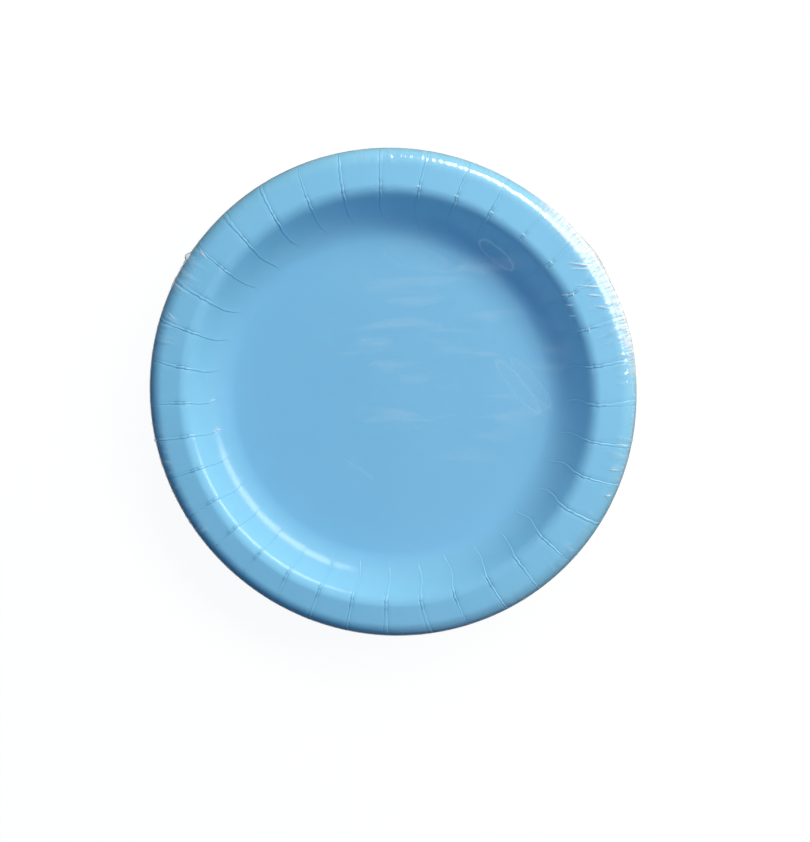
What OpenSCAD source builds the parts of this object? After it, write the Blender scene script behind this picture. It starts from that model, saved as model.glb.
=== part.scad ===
// A shrink-wrapped stack of round, pleated paper plates.
// The underside of the wrapped stack lies on z = 0 and its axis is the z axis.

/* [Plate] */
// Outer diameter of a plate, a nominal 9 inch
plate_d = 228; // [180:1:280]
// Height of the rim above the flat floor
plate_depth = 16; // [14:0.5:20]
// Width of the rim, from the top of its inner bend to the plate's edge
rim_w = 16; // [14:0.5:20]
// Steepest slope of the wall, in degrees
wall_angle = 58; // [50:1:60]
// Radius of the bend between the floor and the wall
corner_r = 17; // [12:0.5:18]
// Radius of the bend between the wall and the rim
shoulder_r = 6.5; // [5:0.5:8]
// Slope of the rim, falling outwards, in degrees
rim_slope = 3; // [0:0.5:5]
// Radius of the rolled-down lip
lip_r = 9.25; // [7:0.25:12]
// Slope of the lip at the plate's edge, in degrees
lip_angle = 56; // [45:1:58]
// Thickness of the board
board_t = 0.42; // [0.3:0.02:0.5]

/* [Pleats] */
// Number of pleats pressed into the wall and the rim
pleat_count = 36; // [24:1:48]
// Width of a pleat, in degrees round the plate
pleat_angle = 1.1; // [0.6:0.1:2]
// Height of a pleat above the board beside it
pleat_rise = 0.15; // [0.08:0.01:0.2]

/* [Stack] */
// Number of plates in the stack
plate_count = 16; // [2:1:24]
// Air between a pleat and the plate nested above it
nest_gap = 0.05; // [0.03:0.01:0.2]

/* [Film] */
// Thickness of the shrink film
film_t = 0.15; // [0.1:0.05:0.3]
// Air between the film and the plates
film_gap = 0.1; // [0.05:0.05:0.3]
// How far a shrunken corner of the film stands out from the side
ear_reach = 2; // [1:0.5:4]

/* [Hidden] */
$fn = 180;

// Straight steps in each bend of the board
corner_steps = 4;
rim_steps = 3;

// The step of the lower bend at which the pleats start, and the share of their end steps that they leave bare
pleat_start = 3;
pleat_stop = 0.12;

plate_r = plate_d / 2;
crown_r = plate_r - rim_w;

// Height of a pleat over the middle of the board
pleat_h = board_t / 2 + pleat_rise;

// The wall's straight part takes up what its two bends leave of the depth
bends_r = corner_r + shoulder_r;
wall_run = (plate_depth - bends_r * (1 - cos(wall_angle))) / tan(wall_angle);
floor_r = crown_r - bends_r * sin(wall_angle) - wall_run;

// Centres of the three bends in the half section, where z = 0 is the middle of the floor's board
corner_c = [floor_r, corner_r];
shoulder_c = [crown_r, plate_depth - shoulder_r];
lip_x = plate_r - (lip_r + board_t / 2) * sin(lip_angle);
rim_run = lip_x + lip_r * sin(rim_slope) - crown_r - shoulder_r * sin(rim_slope);
rim_end_z = shoulder_c[1] + shoulder_r * cos(rim_slope) - rim_run * tan(rim_slope);
lip_c = [lip_x, rim_end_z - lip_r * cos(rim_slope)];

// Upper and lower corner of the plate's edge, whose cut is square to the board
edge_high = lip_c + (lip_r + board_t / 2) * normal(-lip_angle);
edge_low = lip_c + (lip_r - board_t / 2) * normal(-lip_angle);

// Each plate nests in the one below, and the steepest slope sets the step between them
pitch = (board_t + pleat_rise + nest_gap) / cos(max(wall_angle, lip_angle));
first_z = film_t + film_gap + board_t / 2;
last_z = first_z + (plate_count - 1) * pitch;

// Where the ears of the film stand, in degrees round the stack, and their width and height
ear_places = [40, 146];
ear_angle = 4;
ear_h = 6;
film_steps = 6;

function plate_name(i) = str("plate_", i < 10 ? "0" : "", i);

// Unit normal of a stretch of board that climbs outwards at this angle
function normal(a) = [-sin(a), cos(a)];

// Points along a bend between two slopes, at one height over the middle of the board.
// The radius is negative where the board curls upwards.
function bend(c, r, from, to, steps, h, first = 0) =
  [for (i = [first : steps]) c + (r + h) * normal(from + (to - from) * i / steps)];

// Outline of the wall, the rim and the lip at one height, from one of the lower bend's steps on
function wall_and_rim(h, first) = concat(
  bend(corner_c, -corner_r, 0, wall_angle, corner_steps, h, first),
  bend(shoulder_c, shoulder_r, wall_angle, -rim_slope, rim_steps, h),
  bend(lip_c, lip_r, -rim_slope, -lip_angle, rim_steps, h));

function reversed(points) = [for (i = [len(points) - 1 : -1 : 0]) points[i]];
function moved(points, z) = [for (p = points) p + [0, z]];

// The same points, with both ends drawn in towards the points beside them
function shortened(points, share) =
  let (n = len(points) - 1)
  [for (i = [0 : n])
    i == 0 ? points[0] + share * (points[1] - points[0]) :
    i == n ? points[n] + share * (points[n - 1] - points[n]) :
    points[i]];

// Disc of board, pressed to its dished form
module board() {
  rotate_extrude()
    polygon(concat(
      [[0, -board_t / 2]],
      wall_and_rim(-board_t / 2, 0),
      reversed(wall_and_rim(board_t / 2, 0)),
      [[0, board_t / 2]]));
}

// Folds that take up the spare board all round, each a ridge from the lower bend almost to the edge
module pleats() {
  for (i = [0 : pleat_count - 1])
    rotate([0, 0, i * 360 / pleat_count - pleat_angle / 2])
      rotate_extrude(angle = pleat_angle)
        polygon(concat(
          shortened(wall_and_rim(0, pleat_start), pleat_stop),
          reversed(shortened(wall_and_rim(pleat_h, pleat_start), pleat_stop))));
}

module plate(i) {
  color("lightskyblue")
    translate([0, 0, first_z + (i - 1) * pitch]) {
      board();
      pleats();
    }
}

// The film runs straight from the bottom plate's lower bend to the underside of its edge
to_edge = edge_low - corner_c;
film_slope = atan2(to_edge[1], to_edge[0]) + asin((corner_r + board_t / 2) / norm(to_edge));

// The slope at which the film leaves the top plate's lip and turns down the side
function film_turn(d) = asin((plate_r + d - lip_x) / (lip_r + pleat_h + d));

// Half outline round the whole stack, at one distance from the plates
function wrap_outline(d) = concat(
  [[0, first_z - board_t / 2 - d]],
  moved(bend(corner_c, -corner_r, 0, film_slope, film_steps, -board_t / 2 - d), first_z),
  [edge_low - d * normal(film_slope) + [0, first_z]],
  [[plate_r + d, edge_high[1] + first_z]],
  moved(bend(lip_c, lip_r, -film_turn(d), -rim_slope, film_steps, pleat_h + d), last_z),
  moved(bend(shoulder_c, shoulder_r, -rim_slope, 0, 1, pleat_h + d), last_z),
  [[0, plate_depth + pleat_h + d + last_z]]);

// Film drawn tight round the stack, flat over the top plate, with two shrunken corners
module shrink_film() {
  color("aliceblue", 0.3) {
    rotate_extrude()
      polygon(concat(wrap_outline(film_gap + film_t), reversed(wrap_outline(film_gap))));
    for (a = ear_places)
      rotate([0, 0, a - ear_angle / 2])
        rotate_extrude(angle = ear_angle)
          translate([plate_r + film_gap + film_t / 2, edge_high[1] + last_z - ear_h])
            polygon([[0, 0], [ear_reach, ear_h / 2], [0, ear_h]]);
  }
}

for (i = [1 : plate_count])
  plate(i);
shrink_film();
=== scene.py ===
"""A shrink-wrapped stack of round, pleated paper plates.

Sizes are in metres and the underside of the wrapped stack lies on z = 0. The plates and the film are
spun from the half sections of the solids that they stand for, and are then creased and wrinkled.
Creases and wrinkles are worked out in mm.
"""
import math
import random

import bmesh
import bpy
import numpy as np
from mathutils import Matrix, Vector, noise


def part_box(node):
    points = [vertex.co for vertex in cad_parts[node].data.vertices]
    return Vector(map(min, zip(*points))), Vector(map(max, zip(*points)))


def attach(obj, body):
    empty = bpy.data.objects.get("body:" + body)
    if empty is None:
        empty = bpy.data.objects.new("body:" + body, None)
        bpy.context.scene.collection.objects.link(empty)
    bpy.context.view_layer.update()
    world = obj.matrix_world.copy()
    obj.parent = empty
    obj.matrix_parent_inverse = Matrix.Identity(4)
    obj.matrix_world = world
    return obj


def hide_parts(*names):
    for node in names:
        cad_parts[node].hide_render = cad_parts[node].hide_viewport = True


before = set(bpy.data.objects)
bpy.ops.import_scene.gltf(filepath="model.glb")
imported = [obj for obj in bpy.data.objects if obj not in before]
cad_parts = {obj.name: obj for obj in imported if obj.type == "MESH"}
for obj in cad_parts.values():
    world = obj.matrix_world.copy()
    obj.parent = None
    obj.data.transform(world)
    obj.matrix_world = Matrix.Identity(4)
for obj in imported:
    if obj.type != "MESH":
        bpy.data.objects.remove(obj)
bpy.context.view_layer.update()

MM = 0.001

# The pressed plate
PLATE_R = 114 * MM
DEPTH = 16 * MM
RIM_W = 16 * MM
WALL_SLOPE = math.radians(58)
CORNER_R = 17 * MM
SHOULDER_R = 6.5 * MM
RIM_FALL = math.radians(3)
LIP_R = 9.25 * MM
LIP_SLOPE = math.radians(56)
BOARD = 0.42 * MM

# The pleats, and the height that the film keeps over them
PLEATS = 36
PLEAT_TURN = math.tau / PLEATS
HALF_TURN = PLEAT_TURN / 2
FIRST_PLEAT = math.radians(0.45)
PLEAT_RISE = 0.15 * MM
FILM_GAP = 0.175 * MM

# The stack
PLATES = sorted(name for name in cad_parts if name.startswith("plate_"))
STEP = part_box(PLATES[1])[0].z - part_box(PLATES[0])[0].z
FIRST_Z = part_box(PLATES[0])[0].z + BOARD / 2
LAST_Z = FIRST_Z + STEP * (len(PLATES) - 1)

# Where the bends of the half section have their centres
CROWN_R = PLATE_R - RIM_W
BENDS = CORNER_R + SHOULDER_R
WALL_RUN = (DEPTH - BENDS * (1 - math.cos(WALL_SLOPE))) / math.tan(WALL_SLOPE)
FLOOR_R = CROWN_R - BENDS * math.sin(WALL_SLOPE) - WALL_RUN
LIP_X = PLATE_R - (LIP_R + BOARD / 2) * math.sin(LIP_SLOPE)
RIM_RUN = LIP_X + (LIP_R - SHOULDER_R) * math.sin(RIM_FALL) - CROWN_R
RIM_END_Z = (DEPTH - SHOULDER_R + SHOULDER_R * math.cos(RIM_FALL)
             - RIM_RUN * math.tan(RIM_FALL))
CORNER = Vector((FLOOR_R, CORNER_R))
SHOULDER = Vector((CROWN_R, DEPTH - SHOULDER_R))
LIP = Vector((LIP_X, RIM_END_Z - LIP_R * math.cos(RIM_FALL)))
CROWN_Z = LAST_Z + DEPTH + BOARD / 2

# Points nearer together than this are one
MERGE = 0.001 * MM


# Half sections, as points of distance from the axis and height

def across(slope):
    """The direction square to a stretch of board that climbs outwards at this slope."""
    return Vector((-math.sin(slope), math.cos(slope)))


def bend(centre, radius, start, end, steps, height):
    """Points of a bend between two slopes. The radius is negative where the board curls upwards."""
    slopes = [start + (end - start) * i / steps for i in range(steps + 1)]
    return [centre + (radius + height) * across(slope) for slope in slopes]


def straight(start, end, steps):
    """Points between two others, which are left out."""
    return [start.lerp(end, i / steps) for i in range(1, steps)]


def lifted(points, z):
    return [point + Vector((0, z)) for point in points]


def plate_section(floor, corner, wall, shoulder, rim, lip):
    """A plate's upper side, from the axis to the edge, with so many steps in each part."""
    high = BOARD / 2
    middle = [Vector((0, high))]
    lower = bend(CORNER, -CORNER_R, 0, WALL_SLOPE, corner, high)
    upper = bend(SHOULDER, SHOULDER_R, WALL_SLOPE, -RIM_FALL, shoulder, high)
    edge = bend(LIP, LIP_R, -RIM_FALL, -LIP_SLOPE, lip, high)
    return (middle + straight(middle[0], lower[0], floor) + lower
            + straight(lower[-1], upper[0], wall) + upper
            + straight(upper[-1], edge[0], rim) + edge)


def film_section(flat, lip, side, under):
    """The film round the stack, from the middle of its top to the middle of its underside."""
    over = BOARD / 2 + PLEAT_RISE + FILM_GAP
    below = BOARD / 2 + FILM_GAP
    side_r = PLATE_R + FILM_GAP
    turn = math.asin((side_r - LIP_X) / (LIP_R + over))
    high = LIP + (LIP_R + BOARD / 2) * across(-LIP_SLOPE)
    low = LIP + (LIP_R - BOARD / 2) * across(-LIP_SLOPE)
    reach = low - CORNER
    foot_slope = math.atan2(reach.y, reach.x) + math.asin((CORNER_R + BOARD / 2) / reach.length)
    top = lifted(bend(SHOULDER, SHOULDER_R, 0, -RIM_FALL, 1, over), LAST_Z)
    roll = lifted(bend(LIP, LIP_R, -RIM_FALL, -turn, lip, over), LAST_Z)
    drop = lifted([Vector((side_r, high.y)), low - FILM_GAP * across(foot_slope)], FIRST_Z)
    foot = lifted(bend(CORNER, -CORNER_R, foot_slope, 0, 6, -below), FIRST_Z)
    centre = [Vector((0, top[0].y)), Vector((0, foot[-1].y))]
    return (centre[:1] + straight(centre[0], top[0], flat) + top
            + straight(top[-1], roll[0], 4) + roll
            + straight(roll[-1], drop[0], side) + drop
            + straight(drop[1], foot[0], under) + foot
            + straight(foot[-1], centre[1], 4) + centre[1:])


# Meshes

def spun(name, section, columns, materials):
    """A skin turned from a half section, with so many columns from one pleat to the next.

    One pleat's share of the turn is spun first and is then spun round in copies. Each point keeps its
    way along the section, in the layer called run.
    """
    skin = bmesh.new()
    run = skin.verts.layers.float.new("run")
    points = []
    way = 0.0
    for here, before in zip(section, section[:1] + section):
        way += (here - before).length
        point = skin.verts.new((here.x, 0, here.y))
        point[run] = way
        points.append(point)
    edges = [skin.edges.new(pair) for pair in zip(points, points[1:])]
    axis = {"cent": (0, 0, 0), "axis": (0, 0, 1)}
    bmesh.ops.spin(skin, geom=points + edges, angle=PLEAT_TURN, steps=columns, **axis)
    bmesh.ops.spin(skin, geom=skin.verts[:] + skin.edges[:] + skin.faces[:],
                   angle=math.tau - PLEAT_TURN, steps=PLEATS - 1, use_duplicate=True, **axis)
    bmesh.ops.remove_doubles(skin, verts=skin.verts, dist=MERGE)
    bmesh.ops.recalc_face_normals(skin, faces=skin.faces)
    middles = {face: face.calc_center_median() for face in skin.faces}
    top = max(skin.faces, key=lambda face: middles[face].z - middles[face].xy.length)
    if top.normal.z < 0:
        bmesh.ops.reverse_faces(skin, faces=skin.faces)
    return as_object(name, skin, materials)


def as_object(name, skin, materials):
    mesh = bpy.data.meshes.new(name)
    skin.to_mesh(mesh)
    skin.free()
    for material in materials:
        mesh.materials.append(material)
    mesh.shade_smooth()
    return shown(name, mesh)


def shown(name, data):
    """An object of this name in the scene."""
    item = bpy.data.objects.new(name, data)
    bpy.context.scene.collection.objects.link(item)
    return item


def settle(item, node):
    """The piece stands for a solid, and is fixed in the stack."""
    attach(item, "root")
    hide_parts(node)


def places(mesh):
    """Every point's place and outward direction."""
    spots = np.empty(len(mesh.vertices) * 3)
    outward = np.empty(len(mesh.vertices) * 3)
    mesh.vertices.foreach_get("co", spots)
    mesh.vertex_normals.foreach_get("vector", outward)
    return spots.reshape(-1, 3), outward.reshape(-1, 3)


def turns_of(spots):
    """Every point's angle round the stack, from 0 to a full turn, and its distance from the axis."""
    return np.arctan2(spots[:, 1], spots[:, 0]) % math.tau, np.hypot(spots[:, 0], spots[:, 1])


def put(mesh, spots, angles=None):
    """Moves every point to its new place, after turning it round the axis by its own angle."""
    if angles is not None:
        cos, sin = np.cos(angles), np.sin(angles)
        x, y = spots[:, 0].copy(), spots[:, 1].copy()
        spots[:, 0] = x * cos - y * sin
        spots[:, 1] = x * sin + y * cos
    mesh.vertices.foreach_set("co", spots.ravel())
    mesh.update()


def keep_layer(mesh, name, values):
    """Gives every point a value that the materials read."""
    mesh.attributes.new(name, "FLOAT", "POINT").data.foreach_set("value", values)


# Curves over whole arrays

def waves(spots, size, keep):
    """Smooth noise with hills of this size, at every point that is kept."""
    out = np.zeros(len(spots))
    out[keep] = [noise.noise(Vector(spot)) for spot in spots[keep] / size]
    return out


def ease(value, start, end):
    """Climbs smoothly from 0 at start to 1 at end."""
    share = np.clip((value - start) / (end - start), 0, 1)
    return share * share * (3 - 2 * share)


def plateau(value, start, full, fall, end):
    """Climbs from 0 at start to 1 at full, and falls from 1 at fall to 0 at end."""
    return ease(value, start, full) * (1 - ease(value, fall, end))


def bell(value, half_width):
    """A smooth hump, 1 in the middle."""
    return np.exp(-(value / half_width) ** 2)


def nick(value, half_width):
    """A hump with a sharp top, 1 in the middle."""
    return np.exp(-np.abs(value) / half_width)


# Folds of the pressed board. All distances here are in mm.

# The floor swells a little within the first distance from the axis, and is flat from the second on
WELL = (60, 75)
SWELL = 0.12
SWELL_SIZE = 42

# A pleat's line trembles sideways, with this reach and so many radians in each mm from the axis
TREMBLE = 0.12
TREMBLE_RATE = 1.3

# A pleat is a low ridge between two creases. The creases are deeper at the shoulder, and the first one
# also at the lip. The second starts halfway up the wall and is fainter past the shoulder.
CREASE_W = 0.13
FIRST_DEPTH = 0.12
SECOND_DEPTH = 0.10
SHOULDER_DEPTH = 0.09
LIP_DEPTH = 0.04
RIDGE = 0.09
SHOULDER_AT = 97.0
SHOULDER_W = 3.2
SECOND_FROM = (92, 94)
SECOND_FADES = (100, 104)
LIP_FROM = (104, 113)

# The board swells beside each crease, this far from it and this wide
BANK_AT = 0.34
BANK_W = 0.2
FIRST_BANK = 0.05
SECOND_BANK = 0.03

# Low on the wall, where there is no second crease yet, a sharp fold runs beside the first one
FOLD = 0.12
FOLD_AT = 0.3
FOLD_W = 0.15
FOLD_ENDS = (91, 95)

# The board lies lower on one side of the first crease than on the other, most of all on the wall
SHIFT = 0.05
WALL_SHIFT = 0.06
SHIFT_W = 0.15
SHIFT_REACH = 2.0
WALL_ENDS = (93, 97)

# Where the pleat is crushed at the shoulder: two dents, with a peak behind them
KNOTS = [(96.0, 0.5), (99.4, 0.7)]
PEAK_AT = 99.8
PEAK_W = 0.5
KNOT_DEPTH = 0.14

# How much the print is darkened along the creases, partly by wear and partly as painted crease shade:
# less of it on the rim, more at the shoulder and the most at the knots
WEAR_AND_SHADE = 0.2
RIM_LESS_WEAR_AND_SHADE = 0.15
RIM_FROM = (98, 101)
SHOULDER_WEAR_AND_SHADE = 0.2
KNOT_WEAR_AND_SHADE = 0.4

# Columns between one pleat and the next, as shares of half the turn between them
REST = (1, 0.62, 0.36)


def drawn_pleats():
    """What sets one pleat apart from the next: arrays with a value for each pleat."""
    draw = random.Random(36)
    pleats = [{
        "angle": math.radians(draw.uniform(-0.35, 0.35)),
        "start": draw.uniform(81.0, 84.0),
        "lean": draw.uniform(-1.4, 1.4),
        "gap": draw.uniform(1.0, 1.6),
        "spread": draw.uniform(-0.7, 1.1),
        "hook": draw.uniform(0.5, 1.3),
        "force": draw.uniform(0.8, 1.2),
        "phase": draw.uniform(0, math.tau),
        "second": draw.uniform(0.45, 1.2),
    } for _ in range(PLEATS)]
    return {key: np.array([pleat[key] for pleat in pleats]) for key in pleats[0]}


def sway(pleat, r):
    """How far a pleat wanders sideways at r mm from the axis: it trembles on the wall and the rim, has a
    hook at its foot and leans over on the rim."""
    tremble = TREMBLE * np.sin(TREMBLE_RATE * r + pleat["phase"]) * ease(r, 86, 92)
    hook = 0.8 * bell(r - 88.5, 3.2) - 1.0 * (1 - ease(r, 81.5, 87))
    return tremble + hook * pleat["hook"] + pleat["lean"] * ease(r, 98, 117)


def parting(pleat, r):
    """How far each of a pleat's two creases lies from its middle line."""
    return 0.5 * pleat["gap"] * (1 + pleat["spread"] * ease(r, 100, 113))


def relief(pleat, u, r):
    """Height over the smooth board, and how much the print is darkened there by wear and painted crease
    shade, at u mm beside a pleat's line.
    """
    apart = parting(pleat, r)
    to_first, to_second = apart - u, -apart - u
    shoulder = bell(r - SHOULDER_AT, SHOULDER_W)
    lip = ease(r, *LIP_FROM)
    low_wall = 1 - ease(r, *FOLD_ENDS)
    wall = 1 - ease(r, *WALL_ENDS)
    both = ease(r, *SECOND_FROM) * (1 - (1 - pleat["second"]) * ease(r, *SECOND_FADES))
    first = nick(to_first, CREASE_W)
    second = nick(to_second, CREASE_W) * both
    knots = sum(bell(r - at, width) for at, width in KNOTS)
    height = (
        -(FIRST_DEPTH + SHOULDER_DEPTH * shoulder + LIP_DEPTH * lip) * first
        - (SECOND_DEPTH + SHOULDER_DEPTH * shoulder) * second
        + FOLD * low_wall * nick(to_first - FOLD_AT, FOLD_W)
        + RIDGE * both * bell(u, 0.75 * apart)
        + FIRST_BANK * bell(to_first + BANK_AT, BANK_W)
        + SECOND_BANK * both * bell(to_second - BANK_AT, BANK_W)
        + (SHIFT + WALL_SHIFT * wall) * np.tanh(to_first / SHIFT_W) * nick(to_first, SHIFT_REACH)
        + KNOT_DEPTH * (nick(r - PEAK_AT, PEAK_W) - knots) * bell(u, 1.0))
    # The print darkens along the creases: partly wear, partly painted crease shade
    along = WEAR_AND_SHADE - RIM_LESS_WEAR_AND_SHADE * ease(r, *RIM_FROM) + SHOULDER_WEAR_AND_SHADE * shoulder
    wear_and_shade = along * np.maximum(first, second) + KNOT_WEAR_AND_SHADE * knots * bell(u, 0.7)
    strength = ease(r, pleat["start"], pleat["start"] + 2.0) * pleat["force"]
    return height * strength, wear_and_shade * np.minimum(1, strength)


def column_turns(fine):
    """One pleat's columns, close together over its two creases. Each has a part that is a turn from the
    pleat's line, the side of the crease that it follows (0 for none) and its distance from it."""
    rest = [(-share * HALF_TURN, 0, 0.0) for share in REST]
    left = [(0, -1, offset) for offset in fine]
    right = [(0, 1, offset) for offset in fine]
    middle = [(0, 0, 0.0)]
    return rest + left + middle + right + [(-turn, 0, 0.0) for turn, _, _ in rest[:0:-1]]


def creased(mesh, pleats, columns):
    """Gathers the columns to the pleats and presses the creases in."""
    spots, outward = places(mesh)
    here, r = turns_of(spots)
    count = len(columns)
    column = np.rint(here / PLEAT_TURN * count).astype(int) % (PLEATS * count)
    number = column // count
    pleat = {key: values[number] for key, values in pleats.items()}
    turn, crease, offset = (values[column % count] for values in np.array(columns).T)
    mm = np.maximum(r / MM, WELL[0])

    # Columns between the two creases move closer together where the creases do
    apart = parting(pleat, mm)
    widest = np.abs(columns).T[2].max()
    squeeze = np.where(offset * crease < 0, np.minimum(1, 0.85 * apart / widest), 1)
    beside = turn * mm + apart * crease + offset * squeeze

    # What moves a pleat sideways moves the board next to it too, and dies out halfway to the next
    near = 1 - ease(np.abs(turn), 0.3 * HALF_TURN, HALF_TURN)
    sideways = (pleat["angle"] + sway(pleat, mm) / mm) * near
    line = FIRST_PLEAT + PLEAT_TURN * number
    height, wear_and_shade = relief(pleat, beside, mm)
    height += SWELL * waves(spots, SWELL_SIZE * MM, r < WELL[1] * MM) * (1 - ease(mm, *WELL))
    middle = r < MERGE
    angles = np.where(middle, 0, line + beside / mm + sideways - here)
    put(mesh, spots + outward * np.where(middle, 0, height)[:, None] * MM, angles)
    # Keeps the print's darkening in the creases, wear and painted shade, for the board's material
    keep_layer(mesh, "crease", np.where(middle, 0, wear_and_shade))


def press_plate(node, z, steps, columns, pleats, materials):
    """One plate: the skin of its upper side, given the board's thickness downwards."""
    section = lifted(plate_section(**steps), z)
    plate = spun("pressed_" + node, section, len(columns), materials)
    creased(plate.data, pleats, columns)
    wall = plate.modifiers.new("board", "SOLIDIFY")
    wall.thickness = BOARD
    wall.offset = -1
    wall.material_offset = 1
    wall.material_offset_rim = 1
    bpy.context.view_layer.update()
    solid = plate.evaluated_get(bpy.context.evaluated_depsgraph_get())
    plate.data = bpy.data.meshes.new_from_object(solid)
    plate.modifiers.clear()
    plate.data.set_sharp_from_angle(angle=math.radians(75))
    return plate


# Wrinkles of the shrunken film. Each row gives where they lie in degrees round the stack, how many
# there are, how far from the middle of the film's top they start and end along it, and their half
# width and height, all in mm.
WRINKLES = [
    (4, 60, 60, (103, 108), (111, 114), (0.5, 0.8), (0.06, 0.16)),
    (60, 98, 34, (103, 109), (112, 118), (0.5, 0.8), (0.06, 0.16)),
    (13, 38, 9, (94, 101), (114, 120), (0.6, 0.9), (0.12, 0.25)),
    (139, 153, 18, (100, 108), (116, 128), (0.5, 0.9), (0.12, 0.30)),
    (159, 165, 5, (99, 104), (114, 120), (0.5, 0.8), (0.12, 0.25)),
    (186, 218, 26, (104, 109), (115, 122), (0.5, 0.8), (0.12, 0.30)),
    (300, 345, 30, (101, 108), (112, 118), (0.5, 0.8), (0.05, 0.12)),
    (344, 360, 6, (100, 106), (115, 121), (0.5, 0.8), (0.10, 0.20)),
    (0, 360, 70, (104, 110), (114, 122), (0.5, 1.0), (0.05, 0.12)),
    (0, 360, 150, (119, 126), (130, 145), (0.7, 1.6), (0.08, 0.25)),
]

# How far a wrinkle may lean sideways on its way, and the most that it reaches to a side in mm
SLANT = 0.25
WRINKLE_REACH = 8

# Where the shrunken corners stand in degrees round the stack, and their half width, reach and crumple
# in mm
EARS = [(35, 9.0, 0.9, 0.0), (144, 1.7, 2.4, 0.7)]
CRUMPLE_SIZE = 1.1

# Where the film turns down the side, in mm from the middle of its top
SIDE_AT = 119

# The film is slack next to the window and bulges there, by this much in mm. It is gathered as much
# there, less in the stretch beside it and least all round. Stretches are in degrees round the stack,
# from -90 to 270: where the effect begins, is full, begins to fall and ends.
BULGE = 1.2
SLACK = (0, 18, 44, 58)
BESIDE_SLACK = (48, 60, 84, 96)
GATHERED_BESIDE = 0.35
GATHERED_ROUND = 0.15

# Other gathers: their middle and half width in degrees, and how strong they are
GATHERS = [(146, 8, 0.5), (202, 14, 0.4)]

# Painted reflections: white lines along the lip. How far along the film they lie and their half width
# in mm, how strong they are, and their stretch in degrees
PAINTED_EDGE_LINES = [(113.2, 0.7, 0.45, (-24, -14, 4, 12)), (112.4, 0.9, 0.14, (178, 184, 212, 222))]

# The slow waves of the film over the well, their height and their size in mm
SLOW_WAVE = 0.12
SLOW_WAVE_SIZE = 45

# The film lies free over the plate's well, and comes to rest on the rim within this stretch, in mm
# from the middle of its top
WELL_EDGE = (90, 98)


def aside(here, mm, angle):
    """How far in mm every point lies from a line that runs outwards at this angle."""
    return ((here - angle + math.pi) % math.tau - math.pi) * mm


def wrinkle_heights(here, mm, way):
    """Height of all the fine wrinkles together."""
    draw = random.Random(7)
    height = np.zeros(len(way))
    for first, last, count, start, end, width, lift in WRINKLES:
        for _ in range(count):
            angle = math.radians(draw.uniform(first, last))
            begin, stop = draw.uniform(*start), draw.uniform(*end)
            half_width, peak = draw.uniform(*width), draw.uniform(*lift)
            slant = draw.uniform(-SLANT, SLANT)
            off = aside(here, mm, angle)
            near = np.flatnonzero((way > begin) & (way < stop) & (np.abs(off) < WRINKLE_REACH))
            along = way[near] - begin
            length = stop - begin
            fade = plateau(along, 0, 0.4 * length, 0.7 * length, length)
            height[near] += peak * bell(off[near] + slant * along, half_width) * fade
    return height


def ear_heights(spots, here, mm, way):
    """Height of the shrunken corners, which stand out where the film turns down the side."""
    height = np.zeros(len(way))
    for ear, wide, out, rough in EARS:
        off = aside(here, mm, math.radians(ear))
        close = (np.abs(off) < 3 * wide) & (way > 100) & (way < 140)
        crumple = np.abs(waves(spots, CRUMPLE_SIZE * MM, close))
        height += np.where(close, out * bell(off, wide) * bell(way - SIDE_AT, 4), 0)
        height += rough * bell(off, 1.6 * wide) * bell(way - 117, 5) * crumple
    return height


def wrinkled(mesh):
    """Lifts the film in fine folds where it has shrunk, lets it bulge where it is slack, and keeps where
    it is gathered, crumpled, carries the painted glare of the window's light, or lies free over the
    plate's well."""
    spots, outward = places(mesh)
    here, r = turns_of(spots)
    mm = r / MM
    way = np.empty(len(spots))
    mesh.attributes["run"].data.foreach_get("value", way)
    way /= MM
    degrees = (np.degrees(here) + 90) % 360 - 90
    slack = plateau(degrees, *SLACK)
    over_well = 1 - ease(way, *WELL_EDGE)

    height = wrinkle_heights(here, mm, way) + ear_heights(spots, here, mm, way)
    height += BULGE * slack * bell(way - SIDE_AT, 4.5)
    height += SLOW_WAVE * waves(spots, SLOW_WAVE_SIZE * MM, over_well > 0) * over_well
    put(mesh, spots + outward * np.where(r < MERGE, 0, height)[:, None] * MM)

    others = sum(strength * bell(degrees - at, width) for at, width, strength in GATHERS)
    gathers = np.maximum(slack, GATHERED_BESIDE * plateau(degrees, *BESIDE_SLACK))
    gathers = np.maximum(gathers, others + GATHERED_ROUND)
    # The glare's inner edge comes in over the rim where it is brightest
    inner = 110.6 - 2.6 * bell(degrees - 45, 9)
    glare = slack * plateau(way, inner, inner + 1.6, 114.5, 119.5)
    edge = sum(strength * bell(way - at, width) * plateau(degrees, *stretch)
               for at, width, strength, stretch in PAINTED_EDGE_LINES)
    keep_layer(mesh, "gathers", gathers * ease(way, 103, 112) * (1 - 0.5 * ease(way, 120, 130)))
    keep_layer(mesh, "crumple", np.clip(np.abs(height) / 0.3, 0, 1) * ease(way, 95, 102))
    # Painted glare and painted reflection lines, drawn as white haze on the film
    keep_layer(mesh, "painted_glare", np.maximum(glare, edge))
    keep_layer(mesh, "loose", 1 - ease(way, 92, 100))
    keep_layer(mesh, "flat", 1 - ease(way, 78, 90))


# Nodes

WHITE = [1, 1, 1, 1]


def linear(code):
    """An sRGB hex colour as linear red, green, blue and full alpha."""
    shares = [int(code[i:i + 2], 16) / 255 for i in (1, 3, 5)]
    return [share / 12.92 if share <= 0.04045 else ((share + 0.055) / 1.055) ** 2.4
            for share in shares] + [1]


def add(tree, kind, inputs=None, **settings):
    """Adds a node with its settings, and sets or links its inputs."""
    item = tree.nodes.new(kind)
    for name, value in settings.items():
        setattr(item, name, value)
    for key, value in (inputs or {}).items():
        if isinstance(value, bpy.types.NodeSocket):
            tree.links.new(value, item.inputs[key])
        else:
            item.inputs[key].default_value = value
    return item


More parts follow.
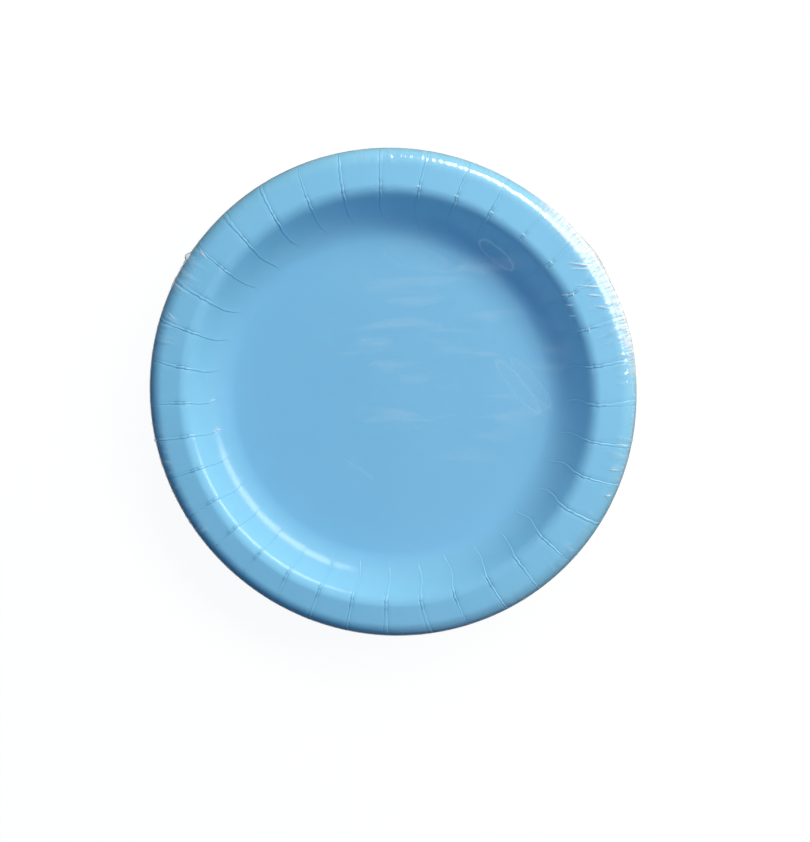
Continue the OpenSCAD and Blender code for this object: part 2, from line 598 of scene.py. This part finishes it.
def calc(tree, operation, *values):
    """The result of a calculation with plain values."""
    return add(tree, "ShaderNodeMath", dict(enumerate(values)), operation=operation).outputs[0]


def calc_vector(tree, operation, *values):
    """The result of a calculation with vectors, a plain value for a length or a distance."""
    item = add(tree, "ShaderNodeVectorMath", dict(enumerate(values)), operation=operation)
    return item.outputs["Value" if operation in ("LENGTH", "DISTANCE") else "Vector"]


def remap(tree, value, start, end, low=0.0, high=1.0, smooth=False):
    """Carries a value over from one span to another, and holds it at the ends."""
    return add(tree, "ShaderNodeMapRange",
               {"Value": value, "From Min": start, "From Max": end, "To Min": low, "To Max": high},
               interpolation_type="SMOOTHSTEP" if smooth else "LINEAR").outputs[0]


def clouds(tree, where, size, detail, **more):
    """Noise whose hills have this size."""
    return add(tree, "ShaderNodeTexNoise",
               {"Vector": where, "Scale": 1 / size, "Detail": detail, **more}).outputs["Fac"]


def blend(tree, share, first, second):
    """A colour between two others."""
    return add(tree, "ShaderNodeMix", {0: share, 6: first, 7: second}, data_type="RGBA").outputs[2]


def mixed(tree, share, first, second):
    """A shader between two others."""
    return add(tree, "ShaderNodeMixShader", {0: share, 1: first, 2: second}).outputs[0]


def bumped(tree, height, strength, distance):
    return add(tree, "ShaderNodeBump",
               {"Height": height, "Strength": strength, "Distance": distance}).outputs[0]


def layer(tree, name):
    """The value that the mesh keeps under this name."""
    return add(tree, "ShaderNodeAttribute", attribute_name=name).outputs["Fac"]


def material_tree(name):
    """A new material and its empty node tree."""
    material = bpy.data.materials.new(name)
    material.use_nodes = True
    material.node_tree.nodes.clear()
    return material, material.node_tree


def place(tree):
    """The place on the object, in metres."""
    return add(tree, "ShaderNodeTexCoord").outputs["Object"]


def surface(tree, shader, kind="ShaderNodeOutputMaterial"):
    add(tree, kind, {"Surface": shader})


def seen_directly(tree):
    """1 for camera rays and for rays that come through the film, where the photograph is plain white.

    Reflections see the dim room instead: a white room would veil the whole film and take away the dark
    line that the photograph shows along the lip.
    """
    path = add(tree, "ShaderNodeLightPath").outputs
    return calc(tree, "MAXIMUM", path["Is Camera Ray"], path["Is Transmission Ray"])


# Materials

def make_coated_board():
    """Paper board, clay coated and printed one flat blue, then varnished. It is satin, with soft broad
    highlights, and its fibres show as a very slight mottle. The print is darkened a little in creases,
    partly worn and partly painted crease shade."""
    material, tree = material_tree("coated_paper_board")
    where = place(tree)
    fibre = clouds(tree, where, 0.9 * MM, 3.0)
    mottle = calc(tree, "ADD", fibre, clouds(tree, where, 30 * MM, 2.0))
    print_blue = blend(tree, remap(tree, mottle, 0.7, 1.3), linear("#8ECEEC"), linear("#93D1EE"))
    # Painted crease shade, with some real wear: the print darkens towards a deep blue along the creases
    wear_and_shade = calc(tree, "MULTIPLY", layer(tree, "crease"), 0.8)
    surface(tree, add(tree, "ShaderNodeBsdfPrincipled", {
        "Base Color": blend(tree, wear_and_shade, print_blue, linear("#2F6B92")),
        "Roughness": remap(tree, fibre, 0.3, 0.7, 0.20, 0.25),
        "IOR": 1.5,
        "Specular IOR Level": 0.4,
        "Normal": bumped(tree, fibre, 0.35, 0.03 * MM)}).outputs[0])
    return material


def make_bare_board():
    """The uncoated back and the cut edge of the board. Bleached pulp gives a matt, warm white with a
    felt of fibres."""
    material, tree = material_tree("bare_paper_board")
    where = place(tree)
    fibre = clouds(tree, where, 0.7 * MM, 4.0)
    surface(tree, add(tree, "ShaderNodeBsdfPrincipled", {
        "Base Color": blend(tree, fibre, linear("#DEDCD4"), linear("#EDECE6")),
        "Roughness": 0.8,
        "Normal": bumped(tree, fibre, 0.5, 0.04 * MM)}).outputs[0])
    return material


# Painted highlights of the film: pale outlined ovals over the plate, and one short streak. Their middle,
# half length and half width in mm, turn in degrees, and how strong their outline and their inside are
HIGHLIGHT_OVALS = [
    (50.6, 67, 9.6, 2.9, -40, 0.5, 0.0),
    (15, 66, 14, 5.0, -12, 0.25, 0.1),
    (61.3, 8.8, 15.0, 3.0, -51, 0.6, 0.1),
    (67.1, 10.6, 14.0, 3.0, -51, 0.4, 0.1),
    (-11.5, -31, 8.5, 1.0, -35, 0.3, 0.3),
]
OUTLINE_W = 0.08
WOBBLE = 0.15

# Painted glints: small bright marks on the film. Their middle, half length and half width in mm, turn
# in degrees, and strength
PAINTED_GLINTS = [
    (88.6, 62.6, 7.8, 0.55, -7, 1.5),
    (88.7, 60.7, 7.4, 0.40, -2, 1.2),
    (92.5, 53.2, 7.2, 0.50, -4, 1.3),
    (93.7, 49.4, 3.8, 0.55, -5, 1.5),
    (81.5, 49.5, 2.8, 0.35, 4, 0.8),
    (98.1, 44.1, 3.8, 0.50, -9, 1.4),
    (83.1, 45.0, 2.1, 0.35, 0, 0.7),
    (84.2, 40.3, 1.9, 0.35, 0, 0.5),
    (105.5, -28.6, 3.2, 0.50, -4, 1.6),
    (103.0, -40.8, 1.8, 0.55, 3, 1.6),
    (109.0, -17.4, 3.4, 0.55, -15, 1.2),
    (-80.9, 0.7, 1.8, 0.45, -2, 1.2),
    (-78.7, -13.4, 1.9, 0.50, -2, 1.6),
    (-75.6, -27.8, 1.7, 0.45, -5, 1.4),
    (-83.8, 68.5, 3.6, 0.50, -50, 1.0),
    (-99.9, 40.0, 3.8, 0.45, -40, 1.0),
    (-8.5, 28.9, 0.6, 0.35, -41, 1.2),
]

# Painted glints: short bright dashes where the film is folded over the pleats next to the window. Their
# half length and half width, their strength, and the middle and half width of the stretch that they lie
# in
DASH_L = 1.3 * MM
DASH_W = 0.4 * MM
DASH = 1.2
DASHED = (math.radians(52), math.radians(36))

# The pale veils, painted reflections that lie over the well: their length and width, how far they are
# turned, how strong they are, and where and how far apart they begin to fade and are gone
VEIL_L = 44 * MM
VEIL_W = 9 * MM
VEIL_TURN = math.radians(12)
VEIL = 0.75
VEILS_AT = (28 * MM, 24 * MM, CROWN_Z)
VEILS_R = (30 * MM, 62 * MM)


# The film's gloss: how steeply it grows towards grazing angles, what it is at least on the rim and
# over the well, what gathers add, and how rough it is where the film is tight and where it is gathered
GRAZING = 3.2
LEAST = (0.03, 0.05)
GATHER_GLOSS = 0.06
ROUGHNESS = (0.025, 0.42)

# Hills and streaks of the film: their size, how high the streaks are against the hills, and the depth
RIPPLE = 14 * MM
STREAK = 1.3 * MM
STREAK_HEIGHT = 1.6
RIPPLE_DEPTH = 0.24 * MM

# The haze with the painted light: how much more the painted glare and glints count than crumples, the
# sum at which it is full, and its least and its most
GLARE_WEIGHT = 4.5
HAZE_AND_REFLECTIONS_FULL = 8.0
HAZE_AND_REFLECTIONS = (0.01, 0.955)


def oval(tree, where, x, y, length, width, turn):
    """Distance from the middle of an oval, which is 1 on its outline. It lies square to the z axis."""
    inside = add(tree, "ShaderNodeMapping", {
        "Vector": where, "Location": (x * MM, y * MM, 0), "Rotation": (0, 0, math.radians(turn)),
        "Scale": (length * MM, width * MM, 1e6)}, vector_type="TEXTURE")
    return calc_vector(tree, "LENGTH", inside.outputs[0])


def painted_veils(tree, where):
    """Painted reflections: pale wavy veils over the plate's well, and the painted highlight ovals, as an
    amount of haze.
    """
    turned = add(tree, "ShaderNodeMapping", {
        "Vector": where, "Rotation": (0, 0, VEIL_TURN), "Scale": (1 / VEIL_L, 1 / VEIL_W, 0)})
    bands = clouds(tree, turned.outputs[0], 1.0, 2.0, Roughness=0.45, Distortion=0.5)
    near = remap(tree, calc_vector(tree, "DISTANCE", where, VEILS_AT), *VEILS_R, 1.0, 0.0, smooth=True)
    veil = calc(tree, "MULTIPLY", remap(tree, bands, 0.5, 0.66, smooth=True), near)
    haze_and_reflections = calc(tree, "MULTIPLY", veil, VEIL)
    shift = remap(tree, clouds(tree, where, 7 * MM, 2.0), 0.0, 1.0, -WOBBLE, WOBBLE)
    for *form, outline, inside in HIGHLIGHT_OVALS:
        reach = calc(tree, "ADD", oval(tree, where, *form), shift)
        on_line = calc(tree, "COMPARE", reach, 1.0, OUTLINE_W)
        within = calc(tree, "LESS_THAN", reach, 1.0)
        haze_and_reflections = calc(tree, "MULTIPLY_ADD", on_line, outline, haze_and_reflections)
        haze_and_reflections = calc(tree, "MULTIPLY_ADD", within, inside, haze_and_reflections)
    return haze_and_reflections


def dash_glints(tree, where, r):
    """Painted glints: short bright dashes of the film over the pleats next to the window."""
    parts = add(tree, "ShaderNodeSeparateXYZ", {0: where}).outputs
    turn = calc(tree, "ARCTAN2", parts["Y"], parts["X"])
    pleat = calc(tree, "MULTIPLY_ADD", turn, 1 / PLEAT_TURN, 0.5 - FIRST_PLEAT / PLEAT_TURN)
    pitch = PLEAT_TURN * CROWN_R / DASH_L
    beside = calc(tree, "MULTIPLY_ADD", calc(tree, "FRACT", pleat), pitch, -0.5 * pitch)
    off = calc(tree, "MULTIPLY_ADD", r, 1 / DASH_W, -CROWN_R / DASH_W)
    spot = add(tree, "ShaderNodeCombineXYZ", {0: beside, 1: off}).outputs[0]
    dash = remap(tree, calc_vector(tree, "LENGTH", spot), 0.3, 1.0, DASH, 0.0)
    return calc(tree, "MULTIPLY", dash, calc(tree, "COMPARE", turn, *DASHED))


def glints_of(tree, where, r):
    """All the painted glints of the film, the dashes among them."""
    glints = dash_glints(tree, where, r)
    for *form, strength in PAINTED_GLINTS:
        glint = remap(tree, oval(tree, where, *form), 0.2, 1.0, strength, 0.0)
        glints = calc(tree, "MAXIMUM", glints, glint)
    return glints


def streaks_of(tree, where, level):
    """Fine streaks that run outwards and down the side, as the film was drawn."""
    outwards = calc_vector(tree, "NORMALIZE", level)
    drawn = calc_vector(tree, "MULTIPLY", where, (0.1, 0.1, 0.25))
    spot = calc_vector(tree, "MULTIPLY_ADD", outwards, (PLATE_R,) * 3, drawn)
    return clouds(tree, spot, STREAK, 2.0)


def make_shrink_film():
    """Polyolefin shrink film, blown and then heat shrunk. It is clear, with a thin mirror gloss that
    grows towards grazing angles, fine gathers where it is slack, and a faint milky haze where it is
    crumpled. Painted glare, glints and reflections are mixed in as a milky white."""
    material, tree = material_tree("shrink_film")
    where = place(tree)
    gathers, loose = layer(tree, "gathers"), layer(tree, "loose")
    level = calc_vector(tree, "MULTIPLY", where, (1, 1, 0))
    streaks = streaks_of(tree, where, level)

    # Gathers and ripples of the gloss
    folds = calc(tree, "MULTIPLY", streaks, gathers)
    tall = calc(tree, "MULTIPLY_ADD", folds, STREAK_HEIGHT, clouds(tree, where, RIPPLE, 2.0))
    bump = bumped(tree, tall, 1.0, RIPPLE_DEPTH)

    # Clear film with a mirror gloss. The exponent gives what the two sides of a sheet reflect.
    facing = add(tree, "ShaderNodeLayerWeight", {"Blend": 0.5, "Normal": bump}).outputs["Facing"]
    grazing = calc(tree, "POWER", facing, GRAZING)
    least = calc(tree, "MULTIPLY_ADD", gathers, GATHER_GLOSS, remap(tree, loose, 0.0, 1.0, *LEAST))
    # Painted shade: the clear film is a little darker over the plate's floor than over the rim
    tint = blend(tree, layer(tree, "flat"), linear("#FBFCFD"), linear("#F6F7FA"))
    clear = add(tree, "ShaderNodeBsdfTransparent", {"Color": tint}).outputs[0]
    gloss = add(tree, "ShaderNodeBsdfGlossy", {
        "Color": WHITE, "Roughness": remap(tree, gathers, 0.4, 0.85, *ROUGHNESS),
        "Normal": bump}).outputs[0]
    sheet = mixed(tree, remap(tree, grazing, 0.0, 1.0, least, 1.0), clear, gloss)

    # Milky haze where it is crumpled, painted reflections over the well, and much more white for the
    # painted glare and glints
    over_well = calc(tree, "MULTIPLY", painted_veils(tree, where), loose)
    haze_and_veils = calc(tree, "MAXIMUM", layer(tree, "crumple"), over_well)
    lines = remap(tree, streaks, 0.38, 0.56, 0.1, 1.0, smooth=True)
    # Painted glare of the window's light, in fine streaks
    painted_glare = calc(tree, "MULTIPLY", lines, layer(tree, "painted_glare"))
    glints = glints_of(tree, where, calc_vector(tree, "LENGTH", level))
    white = calc(tree, "MAXIMUM", painted_glare, glints)
    haze_and_reflections = remap(tree, calc(tree, "MULTIPLY_ADD", white, GLARE_WEIGHT, haze_and_veils), 0.0, HAZE_AND_REFLECTIONS_FULL, *HAZE_AND_REFLECTIONS)
    haze_and_glare_white = add(tree, "ShaderNodeBsdfDiffuse", {"Color": linear("#F4F8FB")}).outputs[0]
    surface(tree, mixed(tree, haze_and_reflections, sheet, haze_and_glare_white))
    return material


# The stack: steps along each part of a plate's half section, and columns beside each crease in mm

STEPS_TOP = {"floor": 4, "corner": 12, "wall": 4, "shoulder": 20, "rim": 9, "lip": 11}
STEPS_BOTTOM = {"floor": 4, "corner": 8, "wall": 2, "shoulder": 7, "rim": 3, "lip": 9}
STEPS_BETWEEN = {"floor": 2, "corner": 5, "wall": 1, "shoulder": 4, "rim": 2, "lip": 6}
FINE_TOP = (-0.42, -0.22, -0.1, 0, 0.1, 0.22, 0.42)
FINE_BOTTOM = (-0.4, -0.15, 0, 0.15, 0.4)
FINE_BETWEEN = (-0.3, 0, 0.3)
FILM_COLUMNS = 45


def stack_plates():
    """The top plate shows most and has the most detail. Those between the two ends are all one form."""
    pleats = drawn_pleats()
    skins = [make_coated_board(), make_bare_board()]
    bottom, between, top = PLATES[0], PLATES[1:-1], PLATES[-1]
    for node, z, steps, fine in ((bottom, FIRST_Z, STEPS_BOTTOM, FINE_BOTTOM),
                                 (top, LAST_Z, STEPS_TOP, FINE_TOP)):
        settle(press_plate(node, z, steps, column_turns(fine), pleats, skins), node)
    first = press_plate(between[0], FIRST_Z + STEP, STEPS_BETWEEN, column_turns(FINE_BETWEEN),
                        pleats, skins)
    settle(first, between[0])
    for number, node in enumerate(between[1:], 1):
        plate = shown("pressed_" + node, first.data.copy())
        plate.data.transform(Matrix.Translation((0, 0, STEP * number)))
        settle(plate, node)


def wrap_stack():
    section = film_section(flat=10, lip=16, side=12, under=6)
    film = spun("wrap_film", section, FILM_COLUMNS, [make_shrink_film()])
    wrinkled(film.data)
    settle(film, "shrink_film")


# Floor, light and camera

FLOOR_HALF = 3.0
FLOOR_GREY = [0.08, 0.08, 0.08, 1]
FLOOR_GLOW = 0.94

WINDOW_SIDE = math.radians(47.5)
WINDOW_UP = math.radians(34.5)
WINDOW_AWAY = 3.0
WINDOW_SIZE = (3.6, 1.05)
WINDOW_POWER = 145.0
WINDOW_COLOUR = (1.0, 0.94, 0.81)

# The sky straight above, seen through a roof light, and how closely it keeps to the zenith
SKY_COLOUR = (0.24, 0.68, 1.20)
SKY_FOCUS = 6.0

# How bright the pale side of the room is in reflections, and where along x its edge lies
PALE = 0.25
PALE_EDGE = (-0.28, 0.06)

CAMERA_FROM = Vector((52.05 * MM, 46.72 * MM, CROWN_Z + 363.92 * MM))
CAMERA_AT = Vector((10.02 * MM, -7.87 * MM, CROWN_Z))
CAMERA_LENS = 34.39


def make_floor():
    """A plain white floor that keeps a soft shadow under the stack."""
    material, tree = material_tree("plain_floor")
    matt = add(tree, "ShaderNodeBsdfDiffuse", {"Color": FLOOR_GREY}).outputs[0]
    glow = add(tree, "ShaderNodeEmission", {"Color": WHITE, "Strength": FLOOR_GLOW}).outputs[0]
    pale = add(tree, "ShaderNodeAddShader", {0: matt, 1: glow}).outputs[0]
    surface(tree, mixed(tree, seen_directly(tree), matt, pale))
    sheet = bmesh.new()
    bmesh.ops.create_grid(sheet, x_segments=1, y_segments=1, size=FLOOR_HALF)
    floor = as_object("floor", sheet, [material])


def toward(side, up):
    """The direction at an angle round the stack and an angle over the floor."""
    return Vector((math.cos(side) * math.cos(up), math.sin(side) * math.cos(up), math.sin(up)))


def light_window():
    """A broad soft window beyond the upper right of the photograph."""
    lamp = bpy.data.lights.new("window", "AREA")
    lamp.shape = "RECTANGLE"
    lamp.size, lamp.size_y = WINDOW_SIZE
    lamp.energy = WINDOW_POWER
    lamp.color = WINDOW_COLOUR
    away = toward(WINDOW_SIDE, WINDOW_UP)
    window = shown("window", lamp)
    window.location = away * WINDOW_AWAY + Vector((0, 0, CROWN_Z))
    window.rotation_euler = away.to_track_quat("Z", "Y").to_euler()


def light_room():
    """A dim room with a blue sky straight above. It is paler to the right in reflections, and white
    where the camera sees it."""
    world = bpy.data.worlds.new("room")
    world.use_nodes = True
    bpy.context.scene.world = world
    tree = world.node_tree
    tree.nodes.clear()
    way = add(tree, "ShaderNodeTexCoord").outputs["Generated"]
    parts = add(tree, "ShaderNodeSeparateXYZ", {0: way}).outputs
    sky = calc(tree, "POWER", calc(tree, "MAXIMUM", parts["Z"], 0.0), SKY_FOCUS)
    blue = add(tree, "ShaderNodeVectorMath", {0: SKY_COLOUR, 3: sky}, operation="SCALE").outputs[0]
    mirrored = add(tree, "ShaderNodeLightPath").outputs["Is Glossy Ray"]
    side = remap(tree, parts["X"], *PALE_EDGE, 0.0, PALE, smooth=True)
    colour = calc_vector(tree, "ADD", blue, calc(tree, "MULTIPLY", side, mirrored))
    room = add(tree, "ShaderNodeBackground", {"Color": colour, "Strength": 1.0}).outputs[0]
    white = add(tree, "ShaderNodeBackground", {"Color": WHITE, "Strength": 1.0}).outputs[0]
    surface(tree, mixed(tree, seen_directly(tree), room, white), "ShaderNodeOutputWorld")


def set_camera():
    """The photograph's view, from above and a little to the upper right, with the y axis upwards."""
    camera = shown("camera", bpy.data.cameras.new("camera"))
    camera.data.lens = CAMERA_LENS
    camera.data.clip_start = 10 * MM
    back = (CAMERA_FROM - CAMERA_AT).normalized()
    right = Vector((0, 1, 0)).cross(back).normalized()
    turn = Matrix((right, back.cross(right), back)).transposed().to_4x4()
    camera.matrix_world = Matrix.Translation(CAMERA_FROM) @ turn
    bpy.context.scene.camera = camera


stack_plates()
wrap_stack()
make_floor()
light_window()
light_room()
set_camera()
bpy.context.scene.view_settings.view_transform = "Standard"
